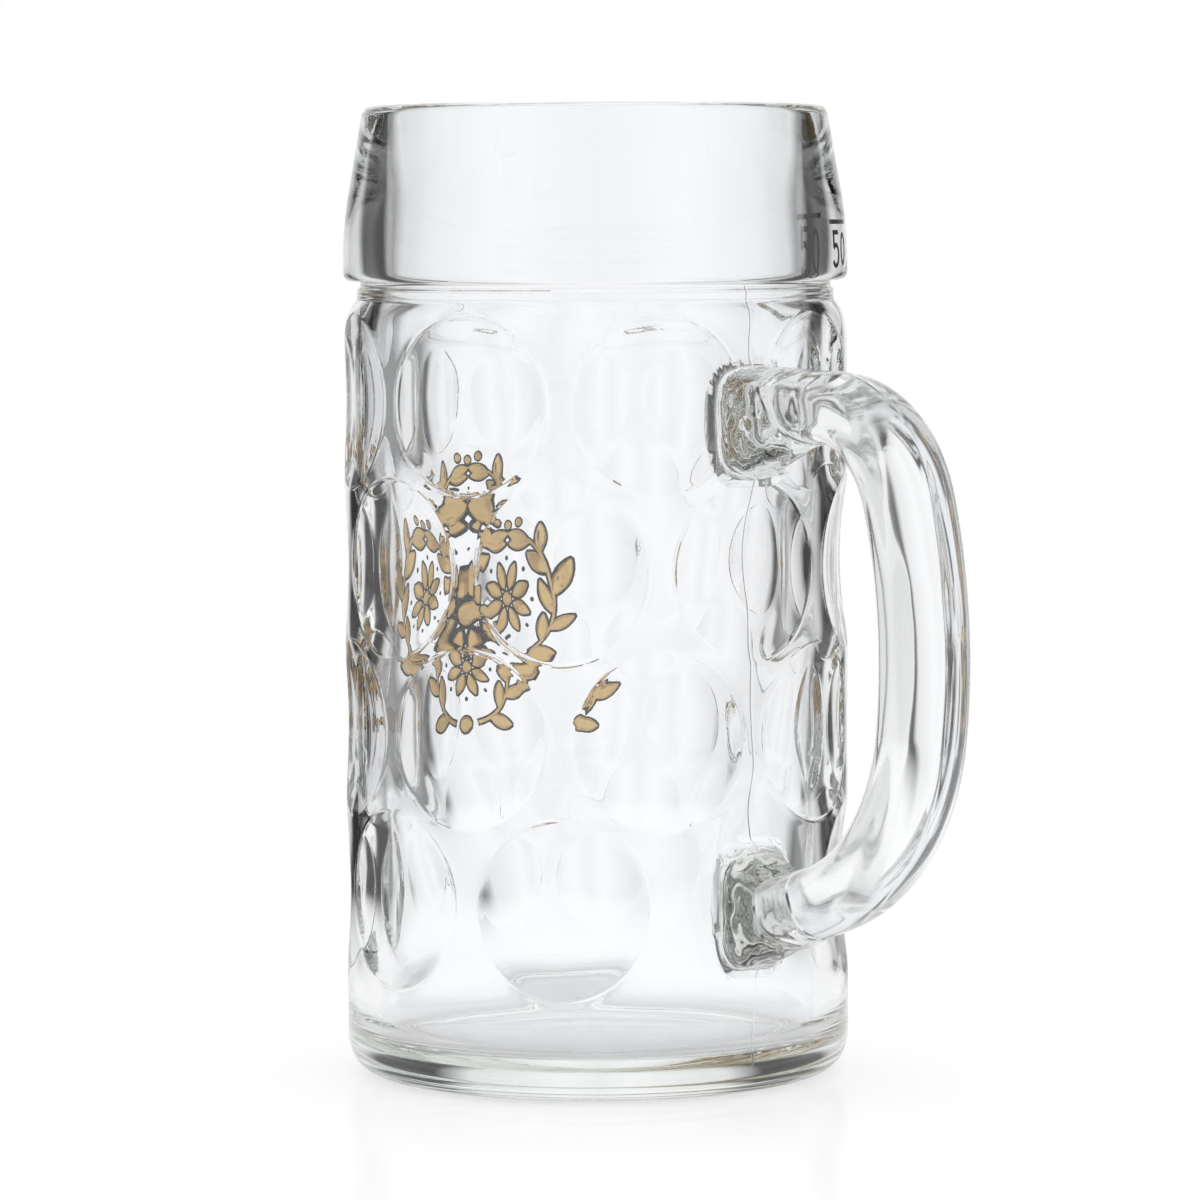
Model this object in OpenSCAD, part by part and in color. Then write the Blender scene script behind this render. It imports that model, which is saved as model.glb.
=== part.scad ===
// Dimpled half-litre beer mug in thick pressed glass, with a wide collar and a round handle.
// Origin at the centre of the foot, on the table. +Z runs up the mug, +X points to the handle.

/* [Vessel] */
// Height from the table to the lip
mug_h = 158; // [150:1:170]
// Outside diameter of the body between its dimples
body_d = 82.2; // [80:0.2:90]
// Thickness of the body's wall between its dimples
wall = 4.5; // [4.3:0.1:6]
// How far the mouth's bore lies in from the body's bore
mouth_in = 1.9; // [1.5:0.1:3]
// How far the neck lies in from the body
neck_cut = 2.7; // [2.1:0.1:3.2]
// How far the lip lies in from the body
lip_in = 3.2; // [2.1:0.1:3.8]
// Height of the collar
collar_h = 28; // [24:0.5:34]
// Height of the straight neck with its bead
neck_h = 3.6; // [3:0.2:5]
// Height over which the shoulder rounds in to the neck
shoulder_h = 8; // [6:0.5:10]
// Height over which the bore narrows to the mouth
taper_h = 16; // [12:0.5:20]
// Thickness of the floor over the table
floor_h = 6.4; // [5:0.2:9]
// Radius between the floor and the bore
floor_r = 5; // [3:0.5:8]

/* [Foot] */
// Radius of the foot's outer edge
foot_r = 6.5; // [4:0.5:8]
// Width of the ring that the mug stands on
ring_w = 2.2; // [1.5:0.1:4]
// Height of the hollow inside the ring
hollow_h = 1.6; // [0.8:0.1:2.4]

/* [Dimples] */
// Number of dimples in a full row
row_count = 8; // [7:1:8]
// Number of rows
rows = 4; // [2:1:4]
// Height of the lowest row's centres
first_row_z = 31; // [29:0.5:32]
// Drop from the shoulder to the top row's centres
top_row_drop = 7.9; // [7:0.1:14]
// Width of a dimple
dimple_w = 28.2; // [20:0.2:28.6]
// Height of a dimple
dimple_h = 28.6; // [22:0.2:29.4]
// Hollowness of a dimple below its own flat width
dimple_sag = 0.3; // [0.2:0.05:0.6]

/* [Handle] */
// Drop from the shoulder to the middle of the handle's upper stretch
grip_drop = 8; // [4:0.2:12]
// Width of the bar across the hand
bar_w = 14.4; // [12:0.2:16]
// Thickness of the bar
bar_t = 11.6; // [10:0.2:13]
// Straight stretch after the upper lug
upper_run = 7.4; // [6:0.2:12]
// Radius of the upper bend
upper_bend_r = 19.6; // [16:0.2:24]
// Turn of the upper bend in degrees
upper_angle = 73.4; // [70:0.2:78]
// Radius of the grip's long bow
bow_r = 86; // [70:1:120]
// Turn of the bow in degrees
bow_angle = 24.2; // [18:0.2:26]
// Radius of the lower bend
lower_bend_r = 32.6; // [28:0.2:38]
// Turn of the lower bend in degrees
lower_angle = 64; // [60:0.2:68]

/* [Lugs] */
// Width of the lugs that carry the handle
lug_w = 13; // [10:0.2:14]
// Corner radius of a lug, seen from outside
lug_r = 3; // [1:0.1:4]
// Reach of the upper lug from the wall to the middle of its seat
upper_reach = 12.1; // [10:0.1:16]
// Lean of the upper seat from upright in degrees
upper_lean = 37; // [0:1:40]
// Depth of the upper lug below the bar's underside
upper_gusset = 5.6; // [2:0.2:7]
// Reach of the lower lug from the wall to the middle of its seat
lower_reach = 9.6; // [8:0.1:11]
// Depth of the lower lug below the seat's lower edge
lower_gusset = 4.2; // [2:0.2:6]
// Height of the lower lug above the seat's upper edge
lower_cap = 4.2; // [1:0.2:6]
// Length of the level underside of a lug next to the wall
lug_heel = 2.6; // [1:0.2:4]

/* [Hidden] */
$fn = 96;
overrun = 2;
side_run = 0.6;
back_run = 0.5;
bead_out = 0.5;
bead_share = 0.6;
step_share = 0.25;
lip_share = 0.46;
collar_run = 1.6;
arc_steps = 8;
bar_sides = 32;
run_steps = 3;
bend_steps = 16;
bow_steps = 8;
fullness_share = 0.8;

body_r = body_d / 2;
bore_r = body_r - wall;
mouth_r = bore_r - mouth_in;
neck_r = body_r - neck_cut;
lip_out = body_r - lip_in;
lip_r = (lip_out - mouth_r) * lip_share;
collar_z = mug_h - collar_h;
neck_z = collar_z - neck_h;
shoulder_z = neck_z - shoulder_h;
bead_r = neck_r + bead_out;
row_pitch = (shoulder_z - top_row_drop - first_row_z) / (rows - 1);
grip_z = shoulder_z - grip_drop;

// Angle that half a dimple's width spans on the body, and the depths and radii that follow
half_span = asin(dimple_w / 2 / body_r);
flat_depth = body_r * (1 - cos(half_span));
dimple_depth = flat_depth + dimple_sag;
wide_r = bow_radius(dimple_w / 2, dimple_sag);
tall_r = bow_radius(dimple_h / 2, dimple_depth);

// The wall left behind a dimple, whose middle the lugs are rooted in
wall_left = body_r - dimple_depth - bore_r;
root_x = bore_r + wall_left / 2;

upper_seat = [body_r + upper_reach, grip_z];
bend_1 = ahead(upper_seat, 0, upper_run);
bend_2 = round_bend(bend_1, 0, upper_bend_r, upper_angle);
bend_3 = round_bend(bend_2, upper_angle, bow_r, bow_angle);
bend_end = round_bend(bend_3, upper_angle + bow_angle, lower_bend_r, lower_angle);
end_turn = upper_angle + bow_angle + lower_angle;
lower_run = (bend_end.x - body_r - lower_reach) / -cos(end_turn);
lower_seat = ahead(bend_end, end_turn, lower_run);
half_t = bar_t / 2;

// Radius of the arc with a given half chord and rise
function bow_radius(half, rise) = (half * half + rise * rise) / (2 * rise);
// Points of an arc from one angle to another
function arc(centre, radius, from, to) =
    [for (i = [0:arc_steps]) let (a = from + (to - from) * i / arc_steps)
        centre + radius * [cos(a), sin(a)]];
// Where a straight stretch of the handle ends, when its path has turned down by an angle
function ahead(start, turned, run) = start + run * [cos(turned), -sin(turned)];
// Where a bend of the handle ends
function round_bend(start, turned, radius, turn) =
    start + radius * [sin(turned + turn) - sin(turned), cos(turned + turn) - cos(turned)];

// Outline of the vessel without its dimples: foot, body, shoulder, neck, collar and lip
module vessel_outline() {
    shoulder_bow = bow_radius(shoulder_h, body_r - bead_r);
    collar_rise = collar_h - collar_run - lip_r;
    collar_bow = bow_radius(collar_rise, body_r - lip_out);
    ring_r = body_r - foot_r;
    polygon(concat(
        [[0, hollow_h], [ring_r - ring_w - hollow_h, hollow_h], [ring_r - ring_w, 0]],
        arc([ring_r, foot_r], foot_r, -90, 0),
        arc([body_r - shoulder_bow, shoulder_z], shoulder_bow, 0, asin(shoulder_h / shoulder_bow)),
        [[bead_r, neck_z + neck_h * bead_share], [neck_r, neck_z + neck_h * bead_share],
         [neck_r, collar_z - neck_h * step_share], [neck_r + neck_h * step_share, collar_z],
         [body_r, collar_z]],
        arc([body_r - collar_bow, collar_z + collar_run], collar_bow, 0,
            asin(collar_rise / collar_bow)),
        arc([lip_out - lip_r, mug_h - lip_r], lip_r, 0, 90),
        [[0, mug_h]]
    ));
}

// Outline of the space inside, open at the mouth, where the lip's inner edge is rounded too
module bore_outline() {
    taper_z = neck_z - taper_h / 2;
    polygon(concat(
        [[0, floor_h]],
        arc([bore_r - floor_r, floor_h + floor_r], floor_r, -90, 0),
        [for (i = [0:arc_steps]) let (t = i / arc_steps)
            [mouth_r + (bore_r - mouth_r) * (1 + cos(180 * t)) / 2, taper_z + taper_h * t]],
        arc([mouth_r + lip_r, mug_h - lip_r], lip_r, 180, 90),
        [[mouth_r + lip_r, mug_h + overrun], [0, mug_h + overrun]]
    ));
}

// Cutter for one dimple: the outer slice of a barrel that lies outside the wall, wide across and
// tight up and down. It is a little wider than the dimple and clear of its neighbours in the row
module dimple_cutter() {
    sweep = 2 * asin((dimple_w / 2 + side_run) / wide_r);
    slice = dimple_depth + back_run;
    translate([body_r - dimple_depth + wide_r, 0, 0])
        rotate([0, 0, 180 - sweep / 2])
            rotate_extrude(angle = sweep)
                intersection() {
                    translate([wide_r - tall_r, 0]) circle(r = tall_r);
                    translate([wide_r - slice, -tall_r]) square([2 * slice, 2 * tall_r]);
                }
}

// One row of dimples. Rows are staggered, and the lowest leaves out the one where a lug stands
module dimple_row(row) {
    pitch = 360 / row_count;
    for (i = [0:row_count - 1])
        if (row > 0 || i > 0)
            rotate([0, 0, pitch * (i + (row % 2 == 0 ? 0 : 1 / 2))])
                translate([0, 0, first_row_z + row * row_pitch])
                    dimple_cutter();
}

// The vessel with its lowest rows of dimples pressed in, up to a count of rows
module dimpled_vessel(count) {
    difference() {
        if (count > 0) dimpled_vessel(count - 1);
        else rotate_extrude() vessel_outline();
        if (count > 0) dimple_row(count - 1);
        else rotate_extrude() bore_outline();
    }
}

// Rectangle with round corners, centred
module rounded_box(wide, tall, radius) {
    x = wide / 2 - radius;
    y = tall / 2 - radius;
    polygon(concat(arc([x, y], radius, 0, 90), arc([-x, y], radius, 90, 180),
                   arc([-x, -y], radius, 180, 270), arc([x, -y], radius, 270, 360)));
}

// One ring of the bar's skin: its middle, how far the path has turned down, and its lean
function ring(middle, turned, lean) =
    [for (i = [0:bar_sides - 1]) let (
        a = 360 * i / bar_sides,
        out = half_t * bulge(cos(a)),
        side = bar_w / 2 * bulge(sin(a)),
        flat = middle + out * ([sin(turned), cos(turned)] - tan(lean) * [cos(turned), -sin(turned)])
    ) [flat.x, side, flat.y]];
// Fills a circle's coordinate out towards a square's
function bulge(x) = sign(x) * pow(abs(x), fullness_share);
// Rings along one bend of the bar, without its first
function bend_rings(start, turned, radius, turn, steps) =
    [for (i = [1:steps]) let (t = turn * i / steps)
        ring(round_bend(start, turned, radius, t), turned + t, 0)];

// Point at a given height on the straight line through two points
function at_height(a, b, height) = a + (b - a) * (height - a.y) / (b.y - a.y);

// Lug between the wall and the handle, from its side outline and its lowest and highest edge.
// The outline runs a little past the rounded bar that it cuts, on all sides
module lug(points, low, high) {
    intersection() {
        rotate([90, 0, 0]) linear_extrude(lug_w + 2 * side_run, center = true) polygon(points);
        translate([0, 0, (low + high) / 2]) rotate([0, 90, 0])
            linear_extrude(body_d) rounded_box(high - low, lug_w, lug_r);
    }
}

module upper_lug() {
    top = grip_z + half_t;
    under = grip_z - half_t;
    low = under - upper_gusset;
    shift = half_t * tan(upper_lean);
    seat_low = [upper_seat.x + shift, under];
    seat_high = [upper_seat.x - shift, top];
    lug([[root_x, low - back_run],
         at_height([body_r + lug_heel, low], seat_low, low - back_run), seat_low,
         at_height(seat_low, seat_high, top + back_run), [root_x, top + back_run]], low, top);
}

module lower_lug() {
    out = [sin(end_turn), cos(end_turn)];
    seat_low = lower_seat + half_t * out;
    seat_high = lower_seat - half_t * out;
    low = seat_low.y - lower_gusset;
    high = seat_high.y + lower_cap;
    lug([[root_x, low - back_run],
         at_height([body_r + lug_heel, low], seat_low, low - back_run), seat_low, seat_high,
         at_height(seat_high, [body_r, high], high + back_run), [root_x, high + back_run]],
        low, high);
}

module mug_body() {
    color([0.86, 0.90, 0.88, 0.5]) {
        dimpled_vessel(rows);
        upper_lug();
        lower_lug();
    }
}

module handle() {
    rings = concat(
        [for (i = [0:run_steps]) let (t = i / run_steps)
            ring(ahead(upper_seat, 0, upper_run * t), 0, upper_lean * (1 - t))],
        bend_rings(bend_1, 0, upper_bend_r, upper_angle, bend_steps),
        bend_rings(bend_2, upper_angle, bow_r, bow_angle, bow_steps),
        bend_rings(bend_3, upper_angle + bow_angle, lower_bend_r, lower_angle, bend_steps),
        [ring(lower_seat, end_turn, 0)]
    );
    count = len(rings);
    color([0.80, 0.86, 0.84, 0.5])
        polyhedron([for (r = rings, p = r) p], concat(
            [[for (i = [bar_sides - 1:-1:0]) i]],
            [for (k = [0:count - 2], i = [0:bar_sides - 1]) let (j = (i + 1) % bar_sides)
                each [[k * bar_sides + i, k * bar_sides + j, (k + 1) * bar_sides + i],
                      [k * bar_sides + j, (k + 1) * bar_sides + j, (k + 1) * bar_sides + i]]],
            [[for (i = [0:bar_sides - 1]) (count - 1) * bar_sides + i]]
        ));
}

mug_body();
handle();
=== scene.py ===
import math

import bpy
import numpy as np
from mathutils import Euler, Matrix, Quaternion


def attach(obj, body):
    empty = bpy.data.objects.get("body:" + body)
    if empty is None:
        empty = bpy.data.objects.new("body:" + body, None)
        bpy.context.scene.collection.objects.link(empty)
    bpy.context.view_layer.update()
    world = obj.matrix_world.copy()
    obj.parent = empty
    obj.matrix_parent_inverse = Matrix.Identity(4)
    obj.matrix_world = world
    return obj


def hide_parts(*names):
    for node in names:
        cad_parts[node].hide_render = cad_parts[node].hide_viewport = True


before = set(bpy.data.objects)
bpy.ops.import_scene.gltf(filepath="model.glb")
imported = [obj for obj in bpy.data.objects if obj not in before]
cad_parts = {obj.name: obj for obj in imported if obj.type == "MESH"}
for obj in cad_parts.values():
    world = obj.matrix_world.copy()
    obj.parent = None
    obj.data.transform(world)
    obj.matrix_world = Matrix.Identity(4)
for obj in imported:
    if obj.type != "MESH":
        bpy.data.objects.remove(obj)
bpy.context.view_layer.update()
scene = bpy.context.scene
mm = 0.001
sharpFrom = math.radians(40)  # edges that turn more than this stay sharp


# numpy helpers for outlines and skins

cornerCuts = {"least": 3, "perRadian": 7, "stretch": 1.2}


def curve(start, control, end, count):
    # a parabola from start to end that leaves and arrives along the lines to control, without its first point
    t = np.linspace(0, 1, count + 1)[1:, None]
    return (1 - t) ** 2 * start + 2 * t * (1 - t) * control + t ** 2 * end


def outline(corners, step, runStep, fineRun=None):
    # straight runs between corners (r, z, before, after): each corner is a parabola that starts
    # "before" ahead of it and ends "after" behind it; bends are cut into steps of one length, and runs
    # into longer ones, apart from the fine run that leads to one of the corners
    points = np.array([c[:2] for c in corners], float)
    path = [points[:1]]
    last = points[0]
    for k in range(1, len(corners) - 1):
        here, before, after = points[k], corners[k][2], corners[k][3]
        inward = (points[k - 1] - here) / np.linalg.norm(points[k - 1] - here)
        outward = (points[k + 1] - here) / np.linalg.norm(points[k + 1] - here)
        first, end = here + inward * before, here + outward * after
        runs = max(1, round(np.linalg.norm(first - last) / (step if k == fineRun else runStep)))
        path.append(last + (first - last) * np.linspace(0, 1, runs + 1)[1:, None])
        turn = math.acos(max(-1, min(1, float(-inward @ outward))))
        byLength = round((before + after) / step / cornerCuts["stretch"])
        cuts = max(cornerCuts["least"], round(turn * cornerCuts["perRadian"]), byLength)
        path.append(curve(first, here, end, cuts))
        last = end
    runs = max(1, round(np.linalg.norm(points[-1] - last) / runStep))
    path.append(last + (points[-1] - last) * np.linspace(0, 1, runs + 1)[1:, None])
    return np.concatenate(path)


def gridFaces(rows, columns):
    # quads of a grid of rows whose columns close round, pointing outwards for rows that climb an outside
    j, i = np.meshgrid(np.arange(rows - 1), np.arange(columns), indexing="ij")
    k = (i + 1) % columns
    return np.stack([j * columns + i, j * columns + k, (j + 1) * columns + k, (j + 1) * columns + i],
                    axis=-1).reshape(-1, 4)


def makeMesh(name, points, faces, material=None):
    # points in millimetres, faces as a list of index lists
    mesh = bpy.data.meshes.new(name)
    mesh.from_pydata((np.asarray(points) * mm).tolist(), [], [list(map(int, f)) for f in faces])
    mesh.update()
    mesh.shade_smooth()
    if material:
        mesh.materials.append(material)
    made = bpy.data.objects.new(name, mesh)
    scene.collection.objects.link(made)
    return made


def wrappedGrid(rows, top, bottom):
    # rows is (count, columns, 3) of points, closed at each end by a fan to one middle point
    count, columns = rows.shape[:2]
    points = np.concatenate([rows.reshape(-1, 3), [bottom, top]])
    faces = gridFaces(count, columns).tolist()
    low, high = count * columns, count * columns + 1
    last = (count - 1) * columns
    faces += [[(i + 1) % columns, i, low] for i in range(columns)]
    faces += [[last + i, last + (i + 1) % columns, high] for i in range(columns)]
    return points, faces


def facingOut(points, faces):
    # turns every face over if the closed skin's signed volume is negative
    at = np.asarray(points, float)
    total = 0.0
    for size in (3, 4):
        group = np.array([f for f in faces if len(f) == size], int)
        if len(group) == 0:
            continue
        for k in range(1, size - 1):
            second, third = at[group[:, k]], at[group[:, k + 1]]
            total += np.einsum("ij,ij->i", at[group[:, 0]], np.cross(second, third)).sum()
    return faces if total > 0 else [f[::-1] for f in faces]


def smoothMax(a, b, blend):
    # the larger of two values, blended over a width where they cross
    return (a + b + np.sqrt((a - b) ** 2 + blend ** 2)) / 2


print("helpers ready")


# the vessel: an outline turned about the axis, with the dimples pressed into its outside

vessel = {
    "columns": 320, "step": 0.9, "runStep": 6.0, "fineRun": 4, "boreStep": 2.0,
    "bodyR": 41.1, "boreR": 35.9, "mouthR": 34.1, "lipR": 35.6, "height": 158.0, "floor": 6.4,
    "dimpleDepth": 1.9, "dimplePower": 2.7, "dimpleAngle": 19.6, "dimpleHalf": 14.3, "dimpleEdge": 0.2,
    "rowZ": [31.0, 57.5, 84.0, 110.5], "perRow": 8,
    "farShare": 4.0,        # what dimpleShare says where there is no dimple near
    "deepest": -3.0,        # how far below zero a depth may fall before it is blended
    "wallLow": 5.0, "wallHigh": 126.0, "seamHigh": 129.0, "outsideFrom": 37.7, "wallSlack": 0.05,
}
bodyR, boreR, mouthR, lipR = vessel["bodyR"], vessel["boreR"], vessel["mouthR"], vessel["lipR"]
height, floorZ = vessel["height"], vessel["floor"]
outerCorners = [
    (0.0, 1.6), (31.6, 1.6, 1.6, 1.0), (32.5, 0.0, 0.9, 0.6), (bodyR, 0.0, 7.4, 7.4),
    (bodyR, 124.3, 6.0, 2.6), (38.85, 126.5, 0.6, 0.5), (38.85, 128.3, 0.3, 0.25), (38.35, 128.6, 0.25, 0.3),
    (38.35, 129.35, 0.3, 0.5), (bodyR, 129.75, 1.3, 1.3), (bodyR, 138.2, 5.5, 5.5), (37.75, 157.6, 1.5, 0.9),
    (lipR, height),
]
innerCorners = [
    (lipR, height), (mouthR, height, 0.85, 1.6), (mouthR, 130.5, 5.0, 5.0), (boreR, 121.5, 5.0, 5.0),
    (boreR, floorZ, 5.6, 5.6), (0.0, floorZ - 0.3),
]


def dimpleShare(angle, z):
    # 0 in the nearest dimple's middle and 1 on its oval edge; rows are staggered, and the lowest leaves
    # out the dimple at the lug
    pitch = 2 * np.pi / vessel["perRow"]
    nearest = np.full(np.broadcast(angle, z).shape, vessel["farShare"])
    for row, middle in enumerate(vessel["rowZ"]):
        shift = 0 if row % 2 == 0 else pitch / 2
        near = (angle - shift + pitch / 2) % pitch - pitch / 2
        u = np.hypot(near / np.radians(vessel["dimpleAngle"]), (z - middle) / vessel["dimpleHalf"])
        if row == 0:
            facing = np.abs((angle - shift + np.pi) % (2 * np.pi) - np.pi) < pitch / 2
            u = np.where(facing, vessel["farShare"], u)
        nearest = np.minimum(nearest, u)
    return nearest


def dimpleDepthAt(angle, z):
    # depth * (1 - share^power) below the wall, with a softly blended edge
    pressed = vessel["dimpleDepth"] * (1 - dimpleShare(angle, z) ** vessel["dimplePower"])
    return smoothMax(np.maximum(pressed, vessel["deepest"]), 0.0, vessel["dimpleEdge"])


def wallRadius(angle, z):
    # outside radius of the body between its foot and shoulder, dimples included
    return bodyR - dimpleDepthAt(angle, z)


def buildVessel():
    # radius and height follow the outline along a row's index, the angle follows the column's
    outer = outline(outerCorners, vessel["step"], vessel["runStep"], vessel["fineRun"])
    inner = outline(innerCorners, vessel["boreStep"], vessel["runStep"])
    path = np.concatenate([outer[1:], inner[1:-1]])
    outside = np.concatenate([np.ones(len(outer) - 1, bool), np.zeros(len(inner) - 2, bool)])
    angle = np.arange(vessel["columns"]) * 2 * np.pi / vessel["columns"]
    radius = np.repeat(path[:, :1], vessel["columns"], axis=1)
    z = np.repeat(path[:, 1:], vessel["columns"], axis=1)
    wall = outside[:, None] & (z > vessel["wallLow"]) & (z < vessel["wallHigh"])
    radius = radius - np.where(wall, dimpleDepthAt(angle[None, :], z), 0)
    rows = np.stack([radius * np.cos(angle), radius * np.sin(angle), z], axis=-1)
    return wrappedGrid(rows, top=(0, 0, inner[-1][1]), bottom=(0, 0, outer[0][1]))


# the bar of the handle: a squarish round section along straight runs and bends in the XZ plane

bar = {
    "sides": 64, "halfT": 5.7, "halfW": 7.2, "fullnessT": 0.63, "fullnessW": 0.97,
    "thinning": 0.17, "widening": 0.045, "changeRun": 45.0,
    "seat": (53.2, 110.4), "lean": 37.0, "run": 7.4, "runCuts": 12,
    "bends": [(19.6, 73.4), (86.0, 24.2), (32.6, 64.0)], "bendStep": 0.8, "leastCuts": 8, "endCuts": 6,
    "lugReach": 9.6, "seatShare": 0.93, "lip": 0.35, "lipRun": 2.2,
    "gap": 0.02,            # clearance between the bar's end faces and the lugs
}


def ahead(turned):
    # the bar's direction in the XZ plane, once it has turned down by an angle
    return np.array([math.cos(turned), -math.sin(turned)])


def away(turned):
    # square to that direction, on the side that looks away from the fingers
    return np.array([math.sin(turned), math.cos(turned)])


def bulge(wave, fullness):
    # a cosine or sine whose size is raised to a power: 1 leaves it round, less fills it out
    return np.sign(wave) * np.abs(wave) ** fullness


def ringAt(middle, turned, lean=0.0, scale=1.0, halfT=None, halfW=None, fullness=None):
    # one ring of the bar: cosine and sine of the angle round it, filled out by powers towards a square,
    # set across the path, which has turned down by an angle; lean shears the ring along the path
    a = np.arange(bar["sides"]) * 2 * np.pi / bar["sides"]
    out = (halfT or bar["halfT"]) * bulge(np.cos(a), fullness or bar["fullnessT"]) * scale
    side = (halfW or bar["halfW"]) * bulge(np.sin(a), fullness or bar["fullnessW"]) * scale
    across = away(turned) - math.tan(lean) * ahead(turned)
    flat = np.asarray(middle)[None, :] + out[:, None] * across[None, :]
    return np.stack([flat[:, 0], side, flat[:, 1]], axis=-1)


def barPath():
    # stations (middle, turned, lean) along the bar, from the upper seat to the lower one
    stations = []
    middle, turned = np.array(bar["seat"]), 0.0
    lean = math.radians(bar["lean"])
    for t in np.linspace(0, 1, bar["runCuts"]):
        stations.append((middle + np.array([bar["run"] * t, 0.0]), 0.0, lean * (1 - t)))
    middle = middle + np.array([bar["run"], 0.0])
    for radius, degrees in bar["bends"]:
        turn = math.radians(degrees)
        count = max(bar["leastCuts"], round(radius * turn / bar["bendStep"]))
        for t in np.linspace(0, turn, count + 1)[1:]:
            stations.append((middle + radius * (away(turned + t) - away(turned)), turned + t, 0.0))
        middle, turned = stations[-1][0], turned + turn
    run = (middle[0] - bodyR - bar["lugReach"]) / -math.cos(turned)
    for t in np.linspace(0, 1, bar["endCuts"])[1:]:
        stations.append((middle + ahead(turned) * run * t, turned, 0.0))
    return stations


def buildBar(stations):
    # rings along the path; the bar is thinner and wider halfway, near each seat it swells a little to a
    # rounded lip, and its end face steps in to the outline of the lug that it sits on
    middles = np.array([s[0] for s in stations])
    length = np.concatenate([[0], np.cumsum(np.linalg.norm(np.diff(middles, axis=0), axis=1))])
    ends = np.minimum(length, length[-1] - length)
    swell = bar["lip"] * np.exp(-(ends / bar["lipRun"]) ** 2)
    halfway = np.clip(ends / bar["changeRun"], 0, 1) ** 2
    halfT = bar["halfT"] * (1 - bar["thinning"] * halfway)
    halfW = bar["halfW"] * (1 + bar["widening"] * halfway)
    first, last = stations[0], stations[-1]
    rings = [ringAt(*first, bar["seatShare"])]
    for station, s, t, w in zip(stations, swell, halfT, halfW):
        rings.append(ringAt(*station, 1 + s / bar["halfT"], t, w))
    rings.append(ringAt(*last, bar["seatShare"]))
    rows = np.array(rings)[::-1]
    return wrappedGrid(rows, top=(first[0][0], 0, first[0][1]), bottom=(last[0][0], 0, last[0][1]))


# the two lugs: lofts from a blocky ring inside the wall to the outline of the bar's seat

lug = {
    "rootX": 37.5, "halfW": 6.3, "squareness": 0.5, "steps": 30, "fillet": 1.7, "heelBlend": 0.5,
    "upper": {"low": 97.0, "high": 116.2, "heel": 98.9, "murk": 0.45},
    "lower": {"low": 18.6, "high": 42.6, "heel": 21.2, "murk": 1.0},
    "between": 60.0,        # a height that parts the two
    "markFrom": 0.6, "markRun": 1.2,        # where the pits begin, out from the wall
}


def buildLug(station, spec, rootTurn):
    # straight lines from each point of the root ring to its point of the seat ring; a quarter round
    # flares the root where it meets the wall, and the underside stays above the heel
    seat = ringAt(*station, bar["seatShare"])
    tall = (spec["high"] - spec["low"]) / 2
    root = ringAt((lug["rootX"], spec["low"] + tall), rootTurn, halfT=tall, halfW=lug["halfW"],
                  fullness=lug["squareness"])
    t = np.linspace(0, 1, lug["steps"] + 1)[:, None]
    rows = root * (1 - t[..., None]) + seat * t[..., None]
    angle = np.arctan2(rows[..., 1], rows[..., 0])
    wallX = wallRadius(angle, rows[..., 2]) * np.cos(angle)
    reach = np.clip(rows[..., 0] - wallX, 0, lug["fillet"])
    flare = lug["fillet"] - np.sqrt(lug["fillet"] ** 2 - (lug["fillet"] - reach) ** 2)
    outward = rows - rows.mean(axis=1, keepdims=True)
    outward[..., 0] = 0
    rows = rows + outward / np.linalg.norm(outward, axis=-1, keepdims=True) * flare[..., None]
    rows[..., 2] = smoothMax(rows[..., 2], spec["heel"] - flare, lug["heelBlend"] * (1 - t))
    rows[-1] = seat
    return wrappedGrid(rows, top=tuple(seat.mean(axis=0)), bottom=tuple(rows[0].mean(axis=0)))


# node helpers for the materials

def nodeMaterial(name):
    made = bpy.data.materials.new(name)
    made.use_nodes = True
    tree = made.node_tree
    tree.nodes.clear()
    return made, tree.nodes, tree.links


def mathNode(nodes, links, kind, *values):
    node = nodes.new("ShaderNodeMath")
    node.operation = kind
    for k, value in enumerate(values):
        if isinstance(value, (int, float)):
            node.inputs[k].default_value = value
        else:
            links.new(value, node.inputs[k])
    return node.outputs[0]


def attributeNode(nodes, name):
    node = nodes.new("ShaderNodeAttribute")
    node.attribute_name = name
    return node.outputs["Fac"]


def noiseNode(nodes, links, where, scale, detail):
    node = nodes.new("ShaderNodeTexNoise")
    node.inputs["Scale"].default_value = scale
    node.inputs["Detail"].default_value = detail
    links.new(where, node.inputs["Vector"])
    return node.outputs["Fac"]


def bumpNode(nodes, links, height, depth, normal=None):
    # a normal tilted as heights of 0 to 1 would tilt it at this depth in millimetres
    node = nodes.new("ShaderNodeBump")
    node.inputs["Strength"].default_value = 1.0
    node.inputs["Distance"].default_value = depth * mm
    links.new(height, node.inputs["Height"])
    if normal is not None:
        links.new(normal, node.inputs["Normal"])
    return node.outputs["Normal"]


def mixNode(nodes, links, share, one, two):
    # the first shader where the share is 0, the second where it is 1
    node = nodes.new("ShaderNodeMixShader")
    if isinstance(share, float):
        node.inputs["Fac"].default_value = share
    else:
        links.new(share, node.inputs["Fac"])
    links.new(one, node.inputs[1])
    links.new(two, node.inputs[2])
    return node.outputs["Shader"]


# glass and enamel

def narrowHill(nodes, links, value, middle, width):
    # 1 where the value is at the middle, falling off as a bell of the given half width
    off = mathNode(nodes, links, "DIVIDE", mathNode(nodes, links, "SUBTRACT", value, middle), width)
    square = mathNode(nodes, links, "MULTIPLY", off, off)
    return mathNode(nodes, links, "POWER", math.e, mathNode(nodes, links, "MULTIPLY", square, -1.0))


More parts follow.
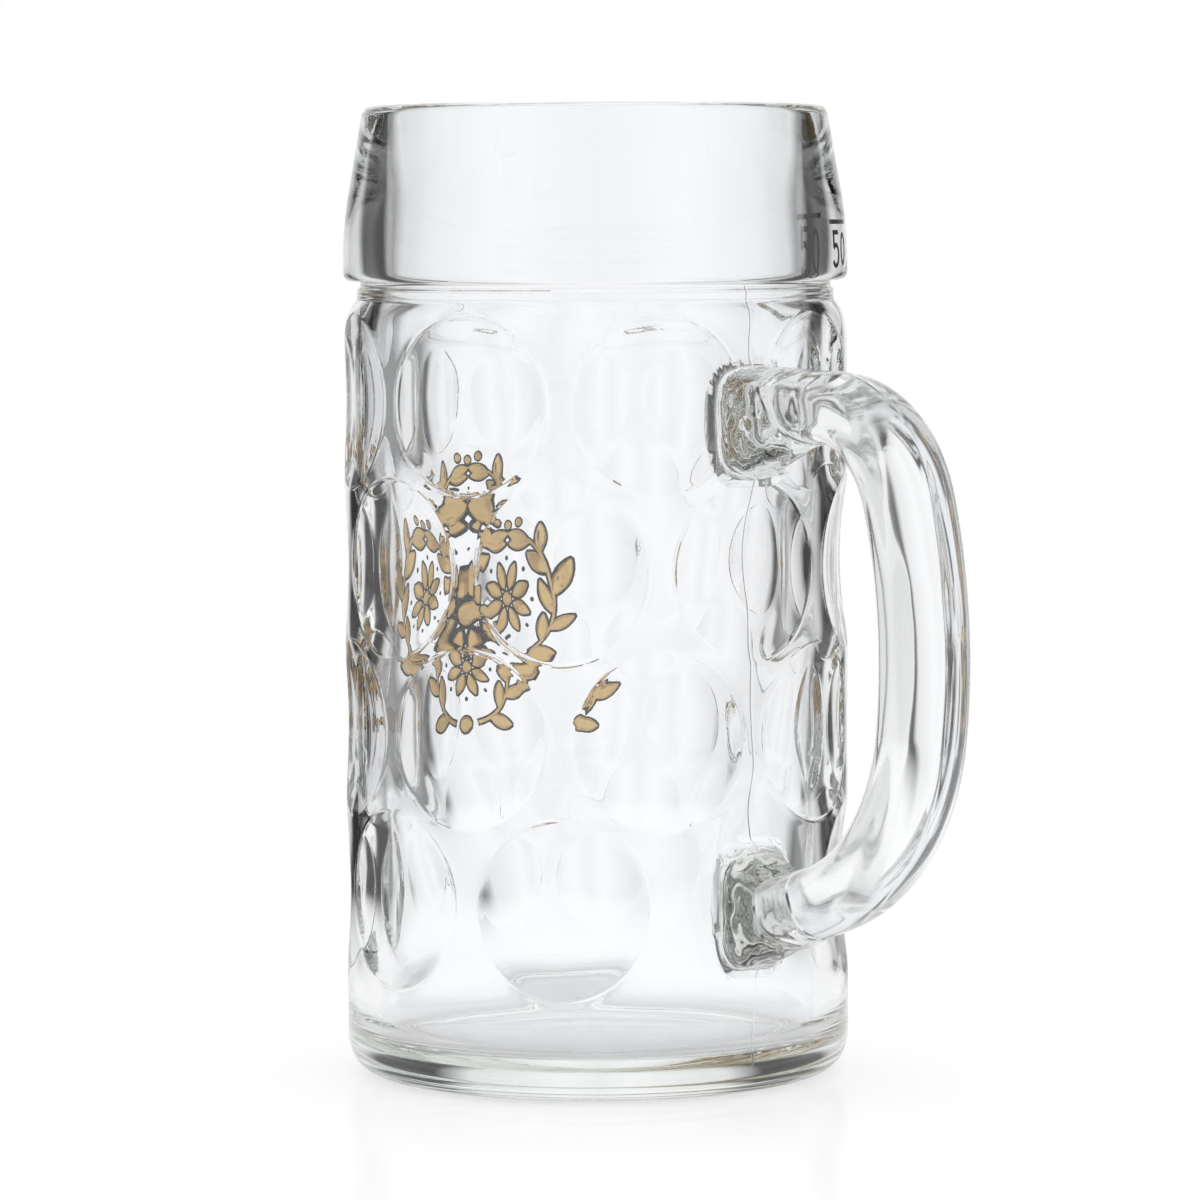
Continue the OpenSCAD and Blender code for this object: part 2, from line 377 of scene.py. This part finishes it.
def pressMarks(nodes, links, where, settings):
    # heights with their depths in mm: a broken bead on each dimple's edge, the mould's seam, which
    # wanders a little, and coarse pits in the lugs
    rim, inLug, bySeam = [attributeNode(nodes, name) for name in ("dimpleShare", "lugShare", "seamShare")]

    patches = noiseNode(nodes, links, where, settings["beadScale"], detail=2)
    patches = mathNode(nodes, links, "MULTIPLY_ADD", patches, settings["beadGain"], settings["beadLoss"])
    broken = mathNode(nodes, links, "MAXIMUM", patches, 0.0)
    edge = narrowHill(nodes, links, rim, 1.0, settings["beadWidth"])
    bead = mathNode(nodes, links, "MULTIPLY", edge, broken)

    parts = nodes.new("ShaderNodeSeparateXYZ")
    links.new(where, parts.inputs["Vector"])
    drift = noiseNode(nodes, links, where, settings["wanderScale"], detail=1)
    drift = mathNode(nodes, links, "SUBTRACT", drift, 0.5)  # the noise's middle value
    wander = mathNode(nodes, links, "MULTIPLY", drift, settings["seamWander"] * mm)
    line = mathNode(nodes, links, "ADD", parts.outputs["Y"], wander)
    ridge = narrowHill(nodes, links, line, 0.0, settings["seamWidth"] * mm)
    seam = mathNode(nodes, links, "MULTIPLY", ridge, bySeam)

    coarse = noiseNode(nodes, links, where, settings["pitScale"], detail=1)
    pits = mathNode(nodes, links, "MULTIPLY", coarse, inLug)
    return [(bead, settings["beadDepth"]), (seam, settings["seamDepth"]), (pits, settings["pitDepth"])]


def clearGlass(name, settings):
    # bent and mirrored light from one smooth surface, a faint green in the depth, a murky tint in the
    # lugs, and bumps for the soft waves of the press, its grain and its marks; the fused seats let
    # light straight through, because there is no surface inside the real glass
    made, nodes, links = nodeMaterial(name)
    shader = nodes.new("ShaderNodeBsdfPrincipled")
    tint = nodes.new("ShaderNodeMixRGB")
    tint.inputs["Color1"].default_value = (*settings["colour"], 1)
    tint.inputs["Color2"].default_value = (*settings["murkColour"], 1)
    links.new(attributeNode(nodes, "lugMurk"), tint.inputs["Fac"])
    links.new(tint.outputs["Color"], shader.inputs["Base Color"])
    shader.inputs["Roughness"].default_value = settings["roughness"]
    shader.inputs["IOR"].default_value = settings["ior"]
    shader.inputs["Transmission Weight"].default_value = 1.0

    place = nodes.new("ShaderNodeTexCoord").outputs["Object"]
    normal = None
    for scale, depth, detail in settings["bumps"]:
        normal = bumpNode(nodes, links, noiseNode(nodes, links, place, scale, detail), depth, normal)
    for height, depth in pressMarks(nodes, links, place, settings):
        normal = bumpNode(nodes, links, height, depth, normal)
    links.new(normal, shader.inputs["Normal"])

    clear = nodes.new("ShaderNodeBsdfTransparent")
    seat = attributeNode(nodes, "fusedSeat")
    surface = mixNode(nodes, links, seat, shader.outputs["BSDF"], clear.outputs["BSDF"])
    depths = nodes.new("ShaderNodeVolumeAbsorption")
    depths.inputs["Color"].default_value = (*settings["depthColour"], 1)
    depths.inputs["Density"].default_value = settings["depthDensity"]
    out = nodes.new("ShaderNodeOutputMaterial")
    links.new(surface, out.inputs["Surface"])
    links.new(depths.outputs["Volume"], out.inputs["Volume"])
    return made


def enamel(name, settings):
    # fired enamel: glossy, with a fine mottle of its colour
    made, nodes, links = nodeMaterial(name)
    place = nodes.new("ShaderNodeTexCoord").outputs["Object"]
    ramp = nodes.new("ShaderNodeValToRGB")
    for stop, position, colour in zip(ramp.color_ramp.elements, settings["mottle"], ("dark", "light")):
        stop.position = position
        stop.color = (*settings[colour], 1)
    links.new(noiseNode(nodes, links, place, settings["grain"], detail=3), ramp.inputs["Fac"])
    shader = nodes.new("ShaderNodeBsdfPrincipled")
    shader.inputs["Roughness"].default_value = settings["roughness"]
    shader.inputs["Metallic"].default_value = settings["metallic"]
    links.new(ramp.outputs["Color"], shader.inputs["Base Color"])
    out = nodes.new("ShaderNodeOutputMaterial")
    links.new(shader.outputs["BSDF"], out.inputs["Surface"])
    return made


bodyFinish = {
    "colour": (0.978, 0.984, 0.998), "murkColour": (0.62, 0.635, 0.6), "roughness": 0.0, "ior": 1.5,
    "depthColour": (0.45, 0.58, 0.38), "depthDensity": 1.8,
    "bumps": [(70, 0.06, 1), (900, 0.0015, 2)],     # scale, depth in mm, detail
    "beadWidth": 0.022, "beadDepth": 0.1, "beadScale": 90, "beadGain": 5.0, "beadLoss": -1.9,
    "seamWidth": 0.14, "seamDepth": 0.07, "seamWander": 5.0, "wanderScale": 60,
    "pitScale": 190, "pitDepth": 1.1,
}
handleFinish = {
    **bodyFinish, "roughness": 0.07, "bumps": [(60, 0.05, 1), (650, 0.004, 2)],
    "seamWidth": 0.5, "seamDepth": 0.12, "seamWander": 1.0,
}
goldFinish = {
    "light": (1.0, 0.71, 0.32), "dark": (0.92, 0.61, 0.25), "grain": 900, "mottle": (0.3, 0.7),
    "roughness": 0.3, "metallic": 0.75,
}
darkFinish = {
    "light": (0.06, 0.05, 0.06), "dark": (0.02, 0.018, 0.022), "grain": 900, "mottle": (0.3, 0.7),
    "roughness": 0.3, "metallic": 0.0,
}
bodyGlass = clearGlass("bodyGlass", bodyFinish)
handleGlass = clearGlass("handleGlass", handleFinish)
goldEnamel = enamel("goldEnamel", goldFinish)
darkEnamel = enamel("darkEnamel", darkFinish)


# putting the glass together

seatTest = {"offPlane": 0.03, "facing": 0.999, "reach": 1.3}


def addAttribute(mesh, name, domain, value):
    attribute = mesh.attributes.new(name, "FLOAT", domain)
    attribute.data.foreach_set("value", value.astype(np.float32))


def markSeats(piece, stations):
    # a value of 1 on the flat faces that lie in a seat's plane, inside the seat's outline
    mesh = piece.data
    count = len(mesh.polygons)
    middle, normal = np.zeros(count * 3), np.zeros(count * 3)
    mesh.polygons.foreach_get("center", middle)
    mesh.polygons.foreach_get("normal", normal)
    middle, normal = middle.reshape(-1, 3) / mm, normal.reshape(-1, 3)
    value = np.zeros(count)
    for station in stations:
        ring = ringAt(*station)
        plane = np.cross(ring[0] - ring[20], ring[8] - ring[20])  # from three points of the ring
        plane /= np.linalg.norm(plane)
        centre = ring.mean(axis=0)
        level = np.abs((middle - centre) @ plane) < seatTest["offPlane"]
        along = np.abs(normal @ plane) > seatTest["facing"]
        inside = np.linalg.norm(middle - centre, axis=1) < bar["halfW"] * seatTest["reach"]
        value[level & along & inside] = 1
    addAttribute(mesh, "fusedSeat", "FACE", value)
    return int(value.sum())


def pointsOf(piece):
    at = np.zeros(len(piece.data.vertices) * 3)
    piece.data.vertices.foreach_get("co", at)
    return at.reshape(-1, 3) / mm


def markBody(piece):
    # values at the vessel's points: where they lie in the nearest dimple, how far out in a lug they are,
    # how murky the lug is, and whether they are on the outer wall, where the mould's seam runs
    at = pointsOf(piece)
    around, z = np.hypot(at[:, 0], at[:, 1]), at[:, 2]
    outside = (around > vessel["outsideFrom"]) & (z > vessel["wallLow"]) & (z < vessel["seamHigh"])
    wall = outside & (around < bodyR + vessel["wallSlack"]) & (z < vessel["wallHigh"])
    share = dimpleShare(np.arctan2(at[:, 1], at[:, 0]), z)
    inLug = np.clip((around - bodyR - lug["markFrom"]) / lug["markRun"], 0, 1)
    murk = np.where(z < lug["between"], lug["lower"]["murk"], lug["upper"]["murk"])
    addAttribute(piece.data, "dimpleShare", "POINT", np.where(wall, share, vessel["farShare"]))
    addAttribute(piece.data, "lugShare", "POINT", inLug)
    addAttribute(piece.data, "lugMurk", "POINT", inLug * murk)
    addAttribute(piece.data, "seamShare", "POINT", np.where(outside & (at[:, 0] > 0), 1.0, 0.0) * (1 - inLug))


def markBar(piece):
    # the bar has the seam all along, and neither dimples nor pits
    levels = {"dimpleShare": vessel["farShare"], "lugShare": 0.0, "lugMurk": 0.0, "seamShare": 1.0}
    for name, level in levels.items():
        addAttribute(piece.data, name, "POINT", np.full(len(piece.data.vertices), level))


def joined(base, *others):
    # one closed skin from several that overlap
    for other in others:
        union = base.modifiers.new("union", "BOOLEAN")
        union.operation, union.solver, union.object = "UNION", "EXACT", other
    bpy.context.view_layer.update()
    whole = bpy.data.meshes.new_from_object(base.evaluated_get(bpy.context.evaluated_depsgraph_get()))
    base.modifiers.clear()
    old = base.data
    base.data = whole
    bpy.data.meshes.remove(old)
    for other in others:
        bpy.data.objects.remove(other)
    return base


stations = barPath()
first, last = stations[0], stations[-1]
points, faces = buildVessel()
mugGlass = makeMesh("glass_vessel", points, facingOut(points, faces), bodyGlass)
lugs = []
for name, station, rootTurn in (("upper", first, 0.0), ("lower", last, math.pi)):
    points, faces = buildLug(station, lug[name], rootTurn)
    lugs.append(makeMesh("lug_" + name, points, facingOut(points, faces), bodyGlass))
mugGlass = joined(mugGlass, *lugs)
mugGlass.data.set_sharp_from_angle(angle=sharpFrom)
seats = markSeats(mugGlass, [first, last])
markBody(mugGlass)
print("vessel joined to its lugs:", len(mugGlass.data.polygons), "faces,", seats, "in the seats")

barFirst = (first[0] + ahead(first[1]) * bar["gap"], *first[1:])
barLast = (last[0] - ahead(last[1]) * bar["gap"], *last[1:])
points, faces = buildBar([barFirst, *stations[1:-1], barLast])
handleBar = makeMesh("glass_handle", points, facingOut(points, faces), handleGlass)
handleBar.data.set_sharp_from_angle(angle=sharpFrom)
seats = markSeats(handleBar, [barFirst, barLast])
markBar(handleBar)
print("handle bar made:", len(handleBar.data.polygons), "faces,", seats, "in the seats")

for piece, node, slot in ((mugGlass, "mug_body", "clear_glass"), (handleBar, "handle", "handle_glass")):
    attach(piece, "root")
    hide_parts(node)


# the fired enamel: a wreath of leaves round a rosette on the wall opposite the handle, gold with dark
# outlines, and a plain fill mark on the collar; each stroke is a thin closed strip that follows the
# wall, with part of its thickness in the glass, because it is fused on

stroke = {
    "across": 4, "leafCuts": 25, "dotCuts": 17, "bowCuts": 49, "rodCuts": 9, "leastHalf": 0.03,
    "leafLead": 0.9, "leafPower": 0.8, "tipGrow": 1.2,
}
wreath = {
    "polar": 180.0, "height": 73.0, "ring": 18.0, "stem": 0.9, "from": -78.0, "to": 60.0,
    "leaves": 8, "leafLength": 9.4, "leafWidth": 4.0, "leafTurn": 34.0, "tipTurn": 0.25,
    "leafStart": 14.0,      # degrees along the ring from the branch's foot to its first leaf
    "leafShort": 18.0,      # degrees of the branch that the row of leaves leaves out
    "petals": 8, "petalFrom": 2.9, "petalLength": 7.4, "petalWidth": 3.9, "hub": 2.0,
    "knot": 1.9, "berry": 1.3, "berries": [(0, 20.5), (-4.6, 21.4), (4.6, 21.4)],
    "dotRing": 11.0, "dotSize": 0.7,
    "outline": 0.52, "goldDepth": 0.05, "goldRise": 0.05, "darkDepth": 0.035, "darkRise": 0.035,
}
fillMark = {
    "polar": 36.5, "height": 134.6, "tall": 5.4, "wide": 2.9, "apart": 4.3, "stroke": 0.75,
    "line": 9.5, "lineUp": 1.7, "stemLow": 0.3, "bowlFrom": 140, "bowlTo": -150, "bowlTall": 1.15,
    "bowlUp": 1.7, "bowlLeft": 0.1, "depth": 0.03, "rise": 0.04, "collarLow": 130.9,
}


def toward(angle):
    return np.array([math.cos(angle), math.sin(angle)])


def strip(line, half):
    # points line + side * half * t for t from -1 to 1, where side is the line's unit normal
    along = np.gradient(line, axis=0)
    along /= np.linalg.norm(along, axis=1, keepdims=True)
    side = np.stack([-along[:, 1], along[:, 0]], axis=-1)
    t = np.linspace(-1, 1, stroke["across"] + 1)
    return line[:, None, :] + (side * half[:, None])[:, None, :] * t[None, :, None]


def leaf(start, heading, length, width, grow=0.0):
    # straight spine whose half width follows a power of sine(pi * s); the points lie closer at its tip
    s = np.linspace(0, 1, stroke["leafCuts"]) ** stroke["leafLead"]
    longer = stroke["tipGrow"] * grow
    spine = np.asarray(start) + toward(heading) * (s[:, None] * (length + 2 * longer) - longer)
    half = width / 2 * np.sin(np.pi * np.clip(s, 0, 1)) ** stroke["leafPower"]
    return strip(spine, np.maximum(half, stroke["leastHalf"]) + grow)


def dot(middle, radius, grow=0.0):
    # a disc as a strip whose half width is the circle's
    c = np.cos(np.linspace(np.pi, 0, stroke["dotCuts"]))
    line = np.stack([middle[0] + (radius + grow) * c, np.full(len(c), float(middle[1]))], axis=-1)
    return strip(line, np.maximum((radius + grow) * np.sqrt(1 - c ** 2), stroke["leastHalf"]))


def bow(radius, start, end, width, middle=(0, 0), grow=0.0, tall=1.0):
    # a strip of one width along an arc of a circle, or of an oval that is "tall" times as high
    a = np.linspace(math.radians(start), math.radians(end), stroke["bowCuts"])
    line = np.stack([middle[0] + radius * np.cos(a), middle[1] + radius * tall * np.sin(a)], axis=-1)
    return strip(line, np.full(len(a), width / 2 + grow))


def rod(start, end, width):
    # a straight strip of one width
    return strip(np.linspace(start, end, stroke["rodCuts"]), np.full(stroke["rodCuts"], width / 2))


def wreathStrips(grow):
    # two branches that climb a ring from the foot, with leaves on both sides, round a rosette
    ring, leafSize = wreath["ring"], (wreath["leafLength"], wreath["leafWidth"])
    petalSize = (wreath["petalLength"], wreath["petalWidth"])
    span = wreath["to"] - wreath["from"] - wreath["leafShort"]
    made = []
    for mirror in (-1, 1):
        side = [bow(ring, wreath["from"], wreath["to"], wreath["stem"], grow=grow)]
        for k in range(wreath["leaves"]):
            at = math.radians(wreath["from"] + wreath["leafStart"] + span * k / (wreath["leaves"] - 1))
            heading = at + np.pi / 2 + math.radians(wreath["leafTurn"]) * (1 if k % 2 else -1)
            side.append(leaf(ring * toward(at), heading, *leafSize, grow))
        at = math.radians(wreath["to"])
        side.append(leaf(ring * toward(at), at + np.pi / 2 + wreath["tipTurn"], *leafSize, grow))
        made += [flat * np.array([mirror, 1]) for flat in side]
    for k in range(wreath["petals"]):
        way = 2 * np.pi * (k + 0.5) / wreath["petals"]
        made.append(leaf(wreath["petalFrom"] * toward(way), way, *petalSize, grow))
    made.append(dot((0, 0), wreath["hub"], grow))
    made.append(dot((0, -ring), wreath["knot"], grow))
    return made + [dot(place, wreath["berry"], grow) for place in wreath["berries"]]


def darkDots():
    # small dots between the petals
    ways = [2 * np.pi * k / wreath["petals"] for k in range(wreath["petals"])]
    return [dot(wreath["dotRing"] * toward(way), wreath["dotSize"]) for way in ways]


def fillStrips():
    # the figures 5 and 0 under a short line
    tall, wide, pen = fillMark["tall"], fillMark["wide"], fillMark["stroke"]
    left, right = -fillMark["apart"] / 2, fillMark["apart"] / 2
    stem = left - wide / 2 + pen / 2
    bowl = (left - fillMark["bowlLeft"], -tall / 2 + fillMark["bowlUp"])
    lineV = tall / 2 + fillMark["lineUp"]
    return [
        rod((left - wide / 2, tall / 2), (left + wide / 2, tall / 2), pen),
        rod((stem, tall / 2), (stem, fillMark["stemLow"]), pen),
        bow(wide / 2, fillMark["bowlFrom"], fillMark["bowlTo"], pen, bowl, tall=fillMark["bowlTall"]),
        bow(wide / 2 - pen / 4, 0, 360, pen, (right, 0), tall=tall / wide),
        rod((-fillMark["line"] / 2, lineV), (fillMark["line"] / 2, lineV), pen),
    ]


def collarRadius(angle, z):
    # outside radius at a height on the collar, where there are no dimples
    line = outline(outerCorners, vessel["step"], vessel["runStep"])
    line = line[line[:, 1] > fillMark["collarLow"]]
    return np.interp(z, line[:, 1], line[:, 0])


def onWall(name, strips, radiusAt, place, depth, rise, material):
    # lays each strip's (u, v) on the wall at an angle of u / bodyR and a height of v from its place, once
    # a little inside and once a little outside the wall, and joins the two skins round their border
    points, faces, count = [], [], 0
    for flat in strips:
        angle = math.radians(place["polar"]) + flat[..., 0] / bodyR
        z = place["height"] + flat[..., 1]
        skins = []
        for lift in (-depth, rise):
            r = radiusAt(angle, z) + lift
            skins.append(np.stack([r * np.cos(angle), r * np.sin(angle), z], axis=-1))
        rows = np.concatenate([skins[0], skins[1][:, ::-1]], axis=1)
        at, cells = wrappedGrid(rows, top=rows[-1].mean(axis=0), bottom=rows[0].mean(axis=0))
        cells = facingOut(at, cells)
        points.append(at)
        faces += [[i + count for i in cell] for cell in cells]
        count += len(at)
    piece = makeMesh(name, np.concatenate(points), faces, material)
    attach(piece, "root")


goldStrips = wreathStrips(0.0)
darkStrips = wreathStrips(wreath["outline"]) + darkDots()
onWall("print_gold", goldStrips, wallRadius, wreath, wreath["goldDepth"], wreath["goldRise"],
       goldEnamel)
onWall("print_dark", darkStrips, wallRadius, wreath, wreath["darkDepth"], wreath["darkRise"],
       darkEnamel)
onWall("fill_mark", fillStrips(), collarRadius, fillMark, fillMark["depth"], fillMark["rise"],
       darkEnamel)
print("enamel laid on:", len(goldStrips), "gold strokes and", len(darkStrips), "dark ones")


# the camera, and a studio with a pale floor and a bright surround whose dark gaps draw the glass's edges

rig = {
    "distance": 943.0, "eye": 142.24, "tilt": 3.939, "roll": 0.231, "azimuth": -37.0, "lens": 173.25,
    "sensor": 36.0, "imageSize": 1200, "axisPixel": 596.5, "farClip": 50.0,
}
studio = {
    "floorSize": 6000.0, "floorColour": (0.62, 0.62, 0.62), "floorGlow": 0.61,
    "floorShine": 0.12, "shineRoughness": 0.12,
    # painted shadow under the mug: for mirrored and bent light the floor's glow drops to a lower level near
    # the middle, and rises back to its full glow between these two radii in mm
    "paintedShadowNear": 38.0, "paintedShadowFar": 60.0, "paintedShadowGlow": 0.4,
    "shadeNear": 90.0, "shadeFar": 260.0,
    "plainLight": 0.8,
    # how bright the surround is, at angles from the direction straight behind the mug, to either side
    "ring": [(0, 0.93), (5, 1.0), (13, 0.9), (21, 0.82), (29, 0.04), (51, 0.02), (58, 0.55), (70, 0.85),
             (105, 0.75), (140, 1.0), (180, 1.0)],
    "bounces": 32, "glossyBounces": 20, "clearBounces": 16,
}


def addCamera():
    made = bpy.data.objects.new("camera", bpy.data.cameras.new("camera"))
    made.data.sensor_width = rig["sensor"]
    made.data.lens = rig["lens"]
    made.data.shift_x = (rig["imageSize"] / 2 - rig["axisPixel"]) / rig["imageSize"]
    made.data.clip_end = rig["farClip"]
    turn = math.radians(rig["azimuth"])
    out = rig["distance"] * mm
    made.location = (out * math.cos(turn), out * math.sin(turn), rig["eye"] * mm)
    level = Euler((math.radians(90 - rig["tilt"]), 0, turn + math.pi / 2))
    made.rotation_mode = "QUATERNION"
    made.rotation_quaternion = level.to_quaternion() @ Quaternion((0, 0, 1), math.radians(-rig["roll"]))
    scene.collection.objects.link(made)
    scene.camera = made


def lightNode(nodes, kind, strength=1.0):
    # a white emission or background
    node = nodes.new(kind)
    node.inputs["Color"].default_value = (1, 1, 1, 1)
    node.inputs["Strength"].default_value = strength
    return node


def softStep(nodes, links, value, near, far, low=0.0, high=1.0):
    # rises from low to high along an S while the value, in metres, goes from near to far, in mm
    node = nodes.new("ShaderNodeMapRange")
    node.interpolation_type = "SMOOTHSTEP"
    for name, number in (("From Min", near * mm), ("From Max", far * mm), ("To Min", low), ("To Max", high)):
        node.inputs[name].default_value = number
    links.new(value, node.inputs["Value"])
    return node.outputs["Result"]


def ringLevel(nodes, links, way):
    # brightness of the surround: a ramp over the angle from the direction straight behind the mug
    turned = nodes.new("ShaderNodeVectorRotate")
    turned.rotation_type = "Z_AXIS"
    turned.inputs["Angle"].default_value = math.radians(180 - rig["azimuth"])
    links.new(way, turned.inputs["Vector"])
    parts = nodes.new("ShaderNodeSeparateXYZ")
    links.new(turned.outputs["Vector"], parts.inputs["Vector"])
    around = mathNode(nodes, links, "ARCTAN2", parts.outputs["Y"], parts.outputs["X"])
    share = mathNode(nodes, links, "DIVIDE", mathNode(nodes, links, "ABSOLUTE", around), math.pi)
    ramp = nodes.new("ShaderNodeValToRGB")
    stops = ramp.color_ramp.elements
    for k, (degrees, level) in enumerate(studio["ring"]):
        stop = stops[k] if k < 2 else stops.new(degrees / 180)
        stop.position = degrees / 180
        stop.color = (level, level, level, 1)
    links.new(share, ramp.inputs["Fac"])
    return ramp.outputs["Color"]


def addFloor():
    # near the mug the floor is matt with a little shine and takes the mug's shadow; right under the mug a
    # painted shadow dims its glow for mirrored and bent light, though not for the camera; further out it
    # fades to white for the camera, and to the surround's level for mirrored and bent light, so no horizon
    # shows through the glass
    far = studio["floorSize"]
    made = makeMesh("floor", [(-far, -far, 0), (far, -far, 0), (far, far, 0), (-far, far, 0)], [(0, 1, 2, 3)])
    material, nodes, links = nodeMaterial("paleFloor")
    place = nodes.new("ShaderNodeTexCoord").outputs["Object"]
    size = nodes.new("ShaderNodeVectorMath")
    size.operation = "LENGTH"
    links.new(place, size.inputs[0])
    size = size.outputs["Value"]
    seen = nodes.new("ShaderNodeLightPath").outputs["Is Camera Ray"]

    matte = nodes.new("ShaderNodeBsdfDiffuse")
    matte.inputs["Color"].default_value = (*studio["floorColour"], 1)
    glow = lightNode(nodes, "ShaderNodeEmission")
    # painted shadow: for mirrored and bent light the glow is lower right under the mug, while camera rays
    # keep the full glow
    paintedShadow = softStep(nodes, links, size, studio["paintedShadowNear"], studio["paintedShadowFar"], studio["paintedShadowGlow"],
                     studio["floorGlow"])
    lift = mathNode(nodes, links, "MULTIPLY", seen, studio["floorGlow"])
    links.new(mathNode(nodes, links, "MAXIMUM", paintedShadow, lift), glow.inputs["Strength"])
    lit = nodes.new("ShaderNodeAddShader")
    links.new(matte.outputs["BSDF"], lit.inputs[0])
    links.new(glow.outputs["Emission"], lit.inputs[1])
    shine = nodes.new("ShaderNodeBsdfGlossy")
    shine.inputs["Roughness"].default_value = studio["shineRoughness"]
    near = mixNode(nodes, links, studio["floorShine"], lit.outputs["Shader"], shine.outputs["BSDF"])

    even = nodes.new("ShaderNodeEmission")
    links.new(ringLevel(nodes, links, place), even.inputs["Color"])
    white = lightNode(nodes, "ShaderNodeEmission")
    beyond = mixNode(nodes, links, seen, even.outputs["Emission"], white.outputs["Emission"])
    fade = softStep(nodes, links, size, studio["shadeNear"], studio["shadeFar"])
    out = nodes.new("ShaderNodeOutputMaterial")
    links.new(mixNode(nodes, links, fade, near, beyond), out.inputs["Surface"])
    made.data.materials.append(material)


def addSurround():
    # plain white for the camera, the ring of bright and dark for mirrored and bent light, and one
    # plain level for matt surfaces
    world = bpy.data.worlds.new("surround")
    scene.world = world
    world.use_nodes = True
    nodes, links = world.node_tree.nodes, world.node_tree.links
    nodes.clear()
    ring = nodes.new("ShaderNodeBackground")
    facing = nodes.new("ShaderNodeTexCoord").outputs["Generated"]
    links.new(ringLevel(nodes, links, facing), ring.inputs["Color"])
    plain = lightNode(nodes, "ShaderNodeBackground", studio["plainLight"])
    white = lightNode(nodes, "ShaderNodeBackground")
    rays = nodes.new("ShaderNodeLightPath").outputs
    bent = mathNode(nodes, links, "MAXIMUM", rays["Is Glossy Ray"], rays["Is Transmission Ray"])
    unseen = mixNode(nodes, links, bent, plain.outputs["Background"], ring.outputs["Background"])
    whole = mixNode(nodes, links, rays["Is Camera Ray"], unseen, white.outputs["Background"])
    out = nodes.new("ShaderNodeOutputWorld")
    links.new(whole, out.inputs["Surface"])


addCamera()
addFloor()
addSurround()
scene.view_settings.view_transform = "Standard"
scene.cycles.max_bounces = studio["bounces"]
scene.cycles.transmission_bounces = studio["bounces"]
scene.cycles.glossy_bounces = studio["glossyBounces"]
scene.cycles.transparent_max_bounces = studio["clearBounces"]
print("studio set")
